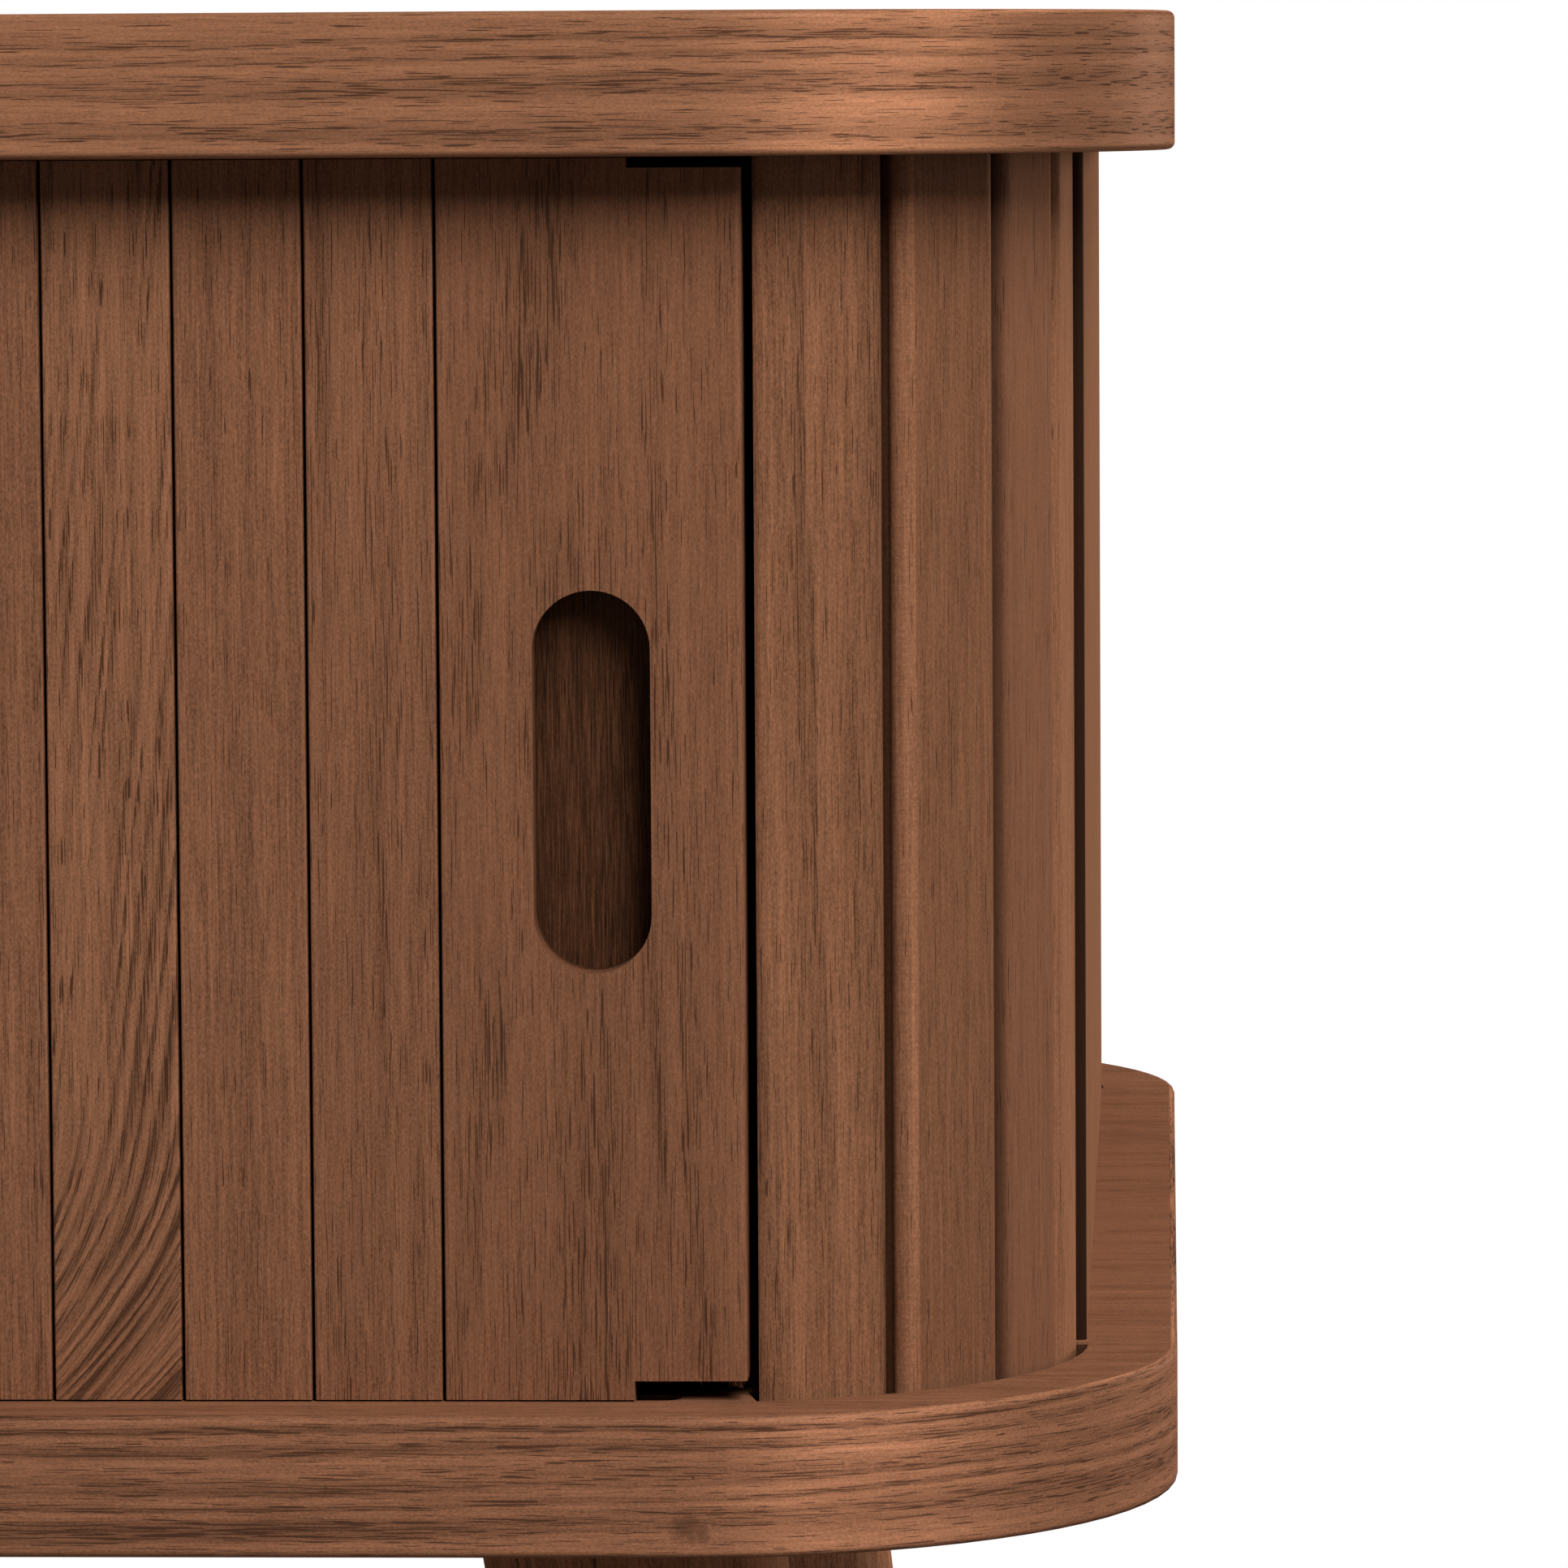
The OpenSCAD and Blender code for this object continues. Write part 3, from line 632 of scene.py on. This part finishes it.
# How much paler the painted highlight makes that arris on the second slat, and the light the
# painted shade leaves on the third slat's, that one and the other; then how far the surface has
# turned to an arris where its painted light starts and is full
ARRIS_PAINTED_HIGHLIGHT, ARRISES_PAINTED_SHADE = 0.5, (0.38, 0.62)
HIGHLIGHT_TURN, NEAR_TURN, FAR_TURN = (0.03, 0.15), (0.35, 0.95), (-0.65, -0.2)
for corner in CORNERS:
    for number, look in enumerate(CORNER_SLAT_LOOKS, 1):
        name = "corner_slat_%s_%d" % (corner, number)
        low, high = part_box(name)
        middle_x, middle_y = (low[0] + high[0]) * 500, (low[1] + high[1]) * 500
        log_part = [dice.uniform(-LOG_REACH, LOG_REACH) for axis in range(3)]
        heart_x = middle_x + dice.uniform(-HEART_ASIDE, HEART_ASIDE)
        heart_y = middle_y + dice.uniform(*HEART_BEHIND)
        lean = (dice.uniform(-LEANING, LEANING), dice.uniform(-LEANING, LEANING), 0)
        slat_wood, tree, figure, oiled = walnut(
            name + "_walnut", ALONG_Z, log_part, (heart_x, heart_y, 0), lean=lean, wander=7, **look
        )
        if number in ARRIS_WAYS:
            way = ARRIS_WAYS[number]
            side, end = (1 if "right" in corner else -1), (-1 if "front" in corner else 1)
            normal = add_node(tree, "ShaderNodeTexCoord").outputs["Normal"]
            facing = add_node(
                tree, "ShaderNodeVectorMath", {0: normal, 1: (way[0] * side, way[1] * end, 0)},
                operation="DOT_PRODUCT",
            ).outputs["Value"]
            if number == 2:
                # A painted highlight makes this arris paler than the face, with fine ticks
                ticks = grain_noise(tree, place_in_mm(tree), (0.4, 0.4, 2.6), detail=1.0)["Fac"]
                ticks = smooth_step(tree, ticks, 0.3, 0.7, 0.6, 1.0)
                arris_highlight = math_of(tree, "MULTIPLY", smooth_step(tree, facing, *HIGHLIGHT_TURN), ticks)
                arris_painted_light = math_of(tree, "MULTIPLY_ADD", arris_highlight, ARRIS_PAINTED_HIGHLIGHT, 1.0)
            else:
                # Painted shade darkens this one's arrises, on both sides where it meets the gaps
                near = smooth_step(tree, facing, *NEAR_TURN, 1.0, ARRISES_PAINTED_SHADE[0])
                far = smooth_step(tree, facing, *FAR_TURN, ARRISES_PAINTED_SHADE[1], 1.0)
                arris_painted_light = math_of(tree, "MULTIPLY", near, far)
            arris_lit_wood = vector_of(tree, "SCALE", figure.outputs["Wood Color"], Scale=arris_painted_light)
            tree.links.new(arris_lit_wood, oiled.inputs["Base Color"])
        dress(name, slat_wood)

# ---------------------------------------------------------------- lead stile
# The door's wide closing edge, one piece of walnut with an arched figure. A round-ended finger
# pull is routed in its middle, and its head and foot are cut back beyond the tongue.
stile_low, stile_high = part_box("lead_stile")
stile_wood, tree, figure, oiled = walnut(
    "lead_stile_walnut", ALONG_Z, (15, 77, 130), (186, -172, 0), lean=(0.004, 0.018, 0),
    ring=3.6, wander=9, band=0.40, streak=1.0, pores=1.2,
    light=tone(124, 82, 59), dark=tone(101, 67, 47),
)
place = place_in_mm(tree)
# Painted shade darkens the pull's floor and thins out up its walls: the pull's middle and
# half its size, sideways and upwards in millimetres, and how deep the painted shade starts and is
# full
PULL_MIDDLE = ((stile_low[0] + stile_high[0]) * 500, (stile_low[2] + stile_high[2]) * 500)
PULL_HALF = (9.6, 30.0)
PAINTED_SHADE_STARTS, PAINTED_SHADE_FULL = 2.0, 8.7
# The painted shade's hue, and the light it leaves in its darkest and its palest streaks
PAINTED_SHADE_HUE, PAINTED_SHADE_DARKEST, PAINTED_SHADE_PALEST = (1.0, 0.93, 0.84), 0.15, 0.42
split = add_node(tree, "ShaderNodeSeparateXYZ", {0: place}).outputs
stile_face = stile_low[1] * 1000
shaded_inside = smooth_step(tree, split["Y"], stile_face + PAINTED_SHADE_STARTS, stile_face + PAINTED_SHADE_FULL)
for axis, middle, half in zip("XZ", PULL_MIDDLE, PULL_HALF):
    off = math_of(tree, "ABSOLUTE", math_of(tree, "SUBTRACT", split[axis], middle))
    shaded_inside = math_of(tree, "MULTIPLY", shaded_inside, math_of(tree, "LESS_THAN", off, half))
scratch = grain_noise(tree, place, (4.5, 4.5, 0.12), detail=2.0, rough=0.7)["Fac"]
scratch = smooth_step(tree, scratch, 0.36, 0.66, PAINTED_SHADE_DARKEST, PAINTED_SHADE_PALEST)
painted_shade = vector_of(tree, "MULTIPLY", figure.outputs["Wood Color"], PAINTED_SHADE_HUE)
painted_shade = vector_of(tree, "SCALE", painted_shade, Scale=scratch)
with_painted_shade = mixed_tone(tree, shaded_inside, figure.outputs["Wood Color"], painted_shade)
tree.links.new(with_painted_shade, oiled.inputs["Base Color"])
dress("lead_stile", stile_wood)

# ---------------------------------------------------------------- torn fibres
# The saw that cut back the stile's foot tore the wood, and short fibres still hang from the cut,
# most of them at its outer end. They are slivers of the stile, left on it.
# The cut, and the clump at its end, in millimetres
FOOT_CUT_Z, CUT_START_X, CUT_END_X = 325.0, 197.6, 213.6
CUT_FRONT_Y, CUT_BACK_Y = -235.2, -231.5
CLUMP_X, CLUMP_SPREAD = 212.6, 0.7
FIBRES, LOOSE_FIBRES = 150, 90
LOOSE_LENGTHS, CLUMP_LENGTHS, FIBRE_THICKNESSES = (0.15, 0.7), (0.5, 1.5), (0.07, 0.16)
# How far a tip strays sideways and backwards, as shares of its length, and how deep a root sits
STRAY_X, STRAY_Y, ROOT_DEPTH = 0.5, 0.2, 0.2
points, faces = [], []
for number in range(FIBRES):
    clumped = number >= LOOSE_FIBRES
    x = dice.gauss(CLUMP_X, CLUMP_SPREAD) if clumped else dice.uniform(CUT_START_X, CUT_END_X)
    x = min(max(x, CUT_START_X), CUT_END_X)
    y = dice.uniform(CUT_FRONT_Y, CUT_BACK_Y)
    length = dice.uniform(*(CLUMP_LENGTHS if clumped else LOOSE_LENGTHS))
    thickness = dice.uniform(*FIBRE_THICKNESSES)
    drift = (dice.uniform(-STRAY_X, STRAY_X) * length, dice.uniform(-STRAY_Y, STRAY_Y) * length)
    first = len(points)
    for way in range(3):
        angle = math.tau * way / 3
        around_x, around_y = thickness * math.cos(angle), thickness * math.sin(angle)
        points.append((x + around_x, y + around_y, FOOT_CUT_Z + ROOT_DEPTH))
    points.append((x + drift[0], y + drift[1], FOOT_CUT_Z - length))
    faces += [(first + way, first + (way + 1) % 3, first + 3) for way in range(3)]
    faces.append((first + 2, first + 1, first))
fibre_mesh = bpy.data.meshes.new("notch_fibres")
fibre_mesh.from_pydata([tuple(MM * v for v in point) for point in points], [], faces)
notch_fibres = bpy.data.objects.new("notch_fibres", fibre_mesh)
bpy.context.scene.collection.objects.link(notch_fibres)
fibre_mesh.materials.append(stile_wood)
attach(notch_fibres, "tambour_door")

# ---------------------------------------------------------------- door slats
# Eight narrow flat slats with tight black gaps, each sawn from another stick of walnut. The
# third from the stile has a bold arched figure near its foot.
DOOR_SLATS = ["door_slat_%d" % number for number in range(1, 9)]
FIGURED_SLAT = "door_slat_3"
# Its figure is bold up to the first height, and has faded to this share at the second
FIGURE_BOLD_TO, FIGURE_FADED_AT, FIGURE_FADED = 335.0, 400.0, 0.45
for name in DOOR_SLATS:
    low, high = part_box(name)
    middle = (low[0] + high[0]) * 500
    log_part = [dice.uniform(-LOG_REACH, LOG_REACH) for axis in range(3)]
    look = dict(
        pith=(middle + dice.uniform(-45, 45), -200 + dice.uniform(20, 60), 0),
        lean=(dice.uniform(-0.035, 0.035), dice.uniform(-0.02, 0.02), 0),
        ring=dice.uniform(1.6, 3.0), wander=7, band=0.36, streak=1.25, pores=0.7,
        light=tone(129, 86, 62), dark=tone(102, 67, 48),
    )
    if name == FIGURED_SLAT:
        look.update(
            pith=(middle - 98, -214, 0), lean=(0.13, 0.0, 0), ring=2.3, wander=9, pores=1.6,
            curl=0.010, curl_below=367.0, light=tone(138, 93, 67), dark=tone(86, 57, 41),
        )
    slat_wood, tree, figure = walnut(name + "_walnut", ALONG_Z, log_part, **look)[:3]
    if name == FIGURED_SLAT:
        height = axis_of(tree, place_in_mm(tree), "Z")
        band = smooth_step(tree, height, FIGURE_BOLD_TO, FIGURE_FADED_AT, 1.0, FIGURE_FADED)
        tree.links.new(band, figure.inputs["Band"])
    dress(name, slat_wood)

# ---------------------------------------------------------------- canvas
# A sheet of dark cotton canvas is glued to the slats' backs and holds the door together. It is
# pulled tight, sinks a little into the gaps between the slats, and puckers where the glue took.
canvas_low, canvas_high = (Vector(corner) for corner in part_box("tambour_canvas"))
# How fine its mesh is; how far the back sinks over a gap, half of a sink's width, and how far it
# puckers, all in metres; and where the mesh is cut over a sink, as shares of that half
CANVAS_STEP_X, CANVAS_STEP_Z = 0.0040, 0.0060
GAP_SINK, GAP_SINK_HALF, PUCKER = 0.00025, 0.0018, 0.00008
SINK_STEPS = (-0.6, -0.3, 0.0, 0.3, 0.6)
# Puckers in a metre across and up the door, and where in the noise they are taken from
PUCKERS_ACROSS, PUCKERS_UP, PUCKER_PLACE = 90, 30, 3.7
SHARP_ANGLE = math.radians(40)
slat_spans = [(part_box(name)[0][0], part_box(name)[1][0]) for name in DOOR_SLATS]
gap_places = [(span[0] + following[1]) / 2 for span, following in zip(slat_spans, slat_spans[1:])]
canvas_xs = [canvas_low.x, canvas_high.x]
for slat_start, slat_end in slat_spans:
    start, end = slat_start + GAP_SINK_HALF, slat_end - GAP_SINK_HALF
    steps = round((end - start) / CANVAS_STEP_X)
    canvas_xs += [start + (end - start) * step / steps for step in range(steps + 1)]
for gap in gap_places:
    canvas_xs += [gap + GAP_SINK_HALF * share for share in SINK_STEPS]
canvas_xs = sorted(set(round(x, 7) for x in canvas_xs if canvas_low.x <= x <= canvas_high.x))
rows = round((canvas_high.z - canvas_low.z) / CANVAS_STEP_Z)
canvas_zs = [canvas_low.z + (canvas_high.z - canvas_low.z) * row / rows for row in range(rows + 1)]


def canvas_back(x, z):
    """How far back the canvas's rear face lies at a place on the door."""
    sink = sum(max(0.0, 1 - ((x - gap) / GAP_SINK_HALF) ** 2) ** 2 for gap in gap_places)
    pucker = noise.noise(Vector((x * PUCKERS_ACROSS, PUCKER_PLACE, z * PUCKERS_UP)))
    pucker = 0.5 + 0.5 * pucker
    return canvas_high.y - GAP_SINK * sink - PUCKER * pucker


columns, rows = len(canvas_xs), len(canvas_zs)
points = [(x, canvas_low.y, z) for z in canvas_zs for x in canvas_xs]
points += [(x, canvas_back(x, z), z) for z in canvas_zs for x in canvas_xs]
behind = columns * rows
faces = []
for row in range(rows - 1):
    for column in range(columns - 1):
        a = row * columns + column
        faces.append((a, a + 1, a + 1 + columns, a + columns))
        faces.append((behind + a, behind + a + columns, behind + a + 1 + columns, behind + a + 1))
rim = list(range(columns))
rim += [row * columns + columns - 1 for row in range(1, rows)]
rim += [(rows - 1) * columns + column for column in range(columns - 2, -1, -1)]
rim += [row * columns for row in range(rows - 2, 0, -1)]
for this, following in zip(rim, rim[1:] + rim[:1]):
    faces.append((following, this, behind + this, behind + following))
canvas_mesh = bpy.data.meshes.new("door_canvas")
canvas_mesh.from_pydata(points, [], faces)
canvas_mesh.shade_smooth()
canvas_mesh.set_sharp_from_angle(angle=SHARP_ANGLE)
door_canvas = bpy.data.objects.new("door_canvas", canvas_mesh)
bpy.context.scene.collection.objects.link(door_canvas)
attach(door_canvas, "tambour_door")
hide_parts("tambour_canvas")
material, tree, output = bare_material("door_canvas")
place = add_node(tree, "ShaderNodeTexCoord").outputs["Object"]
THREADS_PER_METRE, LINT_PER_METRE, WEAVE_RELIEF = 1400.0, 260.0, 0.00015
# How pale the tops of the threads are without lint, and how much more with it
LINT_LEAST, LINT_MORE = 0.3, 0.8
split = add_node(tree, "ShaderNodeSeparateXYZ", {0: place}).outputs
warp = math_of(tree, "SINE", math_of(tree, "MULTIPLY", split["X"], THREADS_PER_METRE * math.pi))
weft = math_of(tree, "SINE", math_of(tree, "MULTIPLY", split["Z"], THREADS_PER_METRE * math.pi))
weave = math_of(tree, "MULTIPLY_ADD", math_of(tree, "MULTIPLY", warp, weft), 0.5, 0.5)
lint = add_node(
    tree, "ShaderNodeTexNoise", {"Vector": place, "Scale": LINT_PER_METRE, "Detail": 3.0}
).outputs["Fac"]
lint = math_of(tree, "MULTIPLY_ADD", lint, LINT_MORE, LINT_LEAST)
threads = math_of(tree, "MULTIPLY", weave, lint)
cotton = mixed_tone(tree, threads, tone(34, 28, 24), tone(72, 62, 54))
bump = add_node(
    tree, "ShaderNodeBump", {"Height": weave, "Distance": WEAVE_RELIEF, "Strength": 0.7}
).outputs[0]
cloth = add_node(
    tree, "ShaderNodeBsdfPrincipled",
    {
        "Base Color": cotton, "Roughness": 0.92, "Normal": bump,
        "Specular IOR Level": 0.15, "Sheen Weight": 0.15,
    },
)
tree.links.new(cloth.outputs[0], output.inputs["Surface"])
canvas_mesh.materials.append(material)

# ---------------------------------------------------------------- legs
# Four turned and tapered walnut legs lean out towards the corners, each bolted under the base
# board. Their grain runs along the leg, so the streaks lean with them.
LEG_LEAN = math.tan(math.radians(8))
for i, corner in enumerate(CORNERS):
    side, end = (1 if "right" in corner else -1), (-1 if "front" in corner else 1)
    axis = Vector((-side * LEG_LEAN, -end * LEG_LEAN, 1)).normalized()
    turn = axis.rotation_difference(Vector((0, 0, 1))).to_euler()
    leg_wood = walnut(
        "leg_" + corner + "_walnut", tuple(turn), (55 * i, 610 + 90 * i, 330 * i),
        (330 * side, 300 * end, 0), ring=4.6, wander=12, band=0.6, streak=1.2,
        light=tone(152, 102, 74), dark=tone(118, 78, 56),
    )[0]
    dress("leg_" + corner, leg_wood)

# ---------------------------------------------------------------- bolts, dowels and glides
# Zinc-plated bolts fix the legs and beech dowels fix the panels, all out of sight once it is
# assembled. A black rubber glide under each foot keeps the wood off the floor.
material, tree, output = bare_material("zinc_plate")
place = add_node(tree, "ShaderNodeTexCoord").outputs["Object"]
SPANGLES_PER_METRE = 900.0
spangle = add_node(
    tree, "ShaderNodeTexVoronoi", {"Vector": place, "Scale": SPANGLES_PER_METRE}
).outputs["Color"]
zinc_tone = mixed_tone(tree, spangle, tone(176, 178, 182), tone(206, 208, 212))
zinc = add_node(
    tree, "ShaderNodeBsdfPrincipled", {"Base Color": zinc_tone, "Metallic": 1.0, "Roughness": 0.38}
)
tree.links.new(zinc.outputs[0], output.inputs["Surface"])
dress("leg_bolts", material)

material, tree, output = bare_material("glide_rubber")
place = add_node(tree, "ShaderNodeTexCoord").outputs["Object"]
DUST_PER_METRE, DUST_RELIEF = 700.0, 0.0001
dust = add_node(
    tree, "ShaderNodeTexNoise", {"Vector": place, "Scale": DUST_PER_METRE, "Detail": 4.0}
).outputs["Fac"]
rubber_tone = mixed_tone(tree, dust, tone(26, 24, 23), tone(62, 58, 54))
bump = add_node(
    tree, "ShaderNodeBump", {"Height": dust, "Distance": DUST_RELIEF, "Strength": 0.5}
).outputs[0]
rubber = add_node(
    tree, "ShaderNodeBsdfPrincipled",
    {"Base Color": rubber_tone, "Roughness": 0.8, "Normal": bump, "Specular IOR Level": 0.3},
)
tree.links.new(rubber.outputs[0], output.inputs["Surface"])
dress("leg_glides", material)

for name in ("base_dowels", "top_dowels"):
    beech = walnut(
        name + "_beech", ALONG_Z, (20, 900, 10), (0, 900, 0), ring=2.0, band=0.3, pores=0.1,
        streak=0.6, light=tone(222, 190, 146), dark=tone(198, 160, 116), rough=0.6, sheen=0.02,
    )[0]
    dress(name, beech)
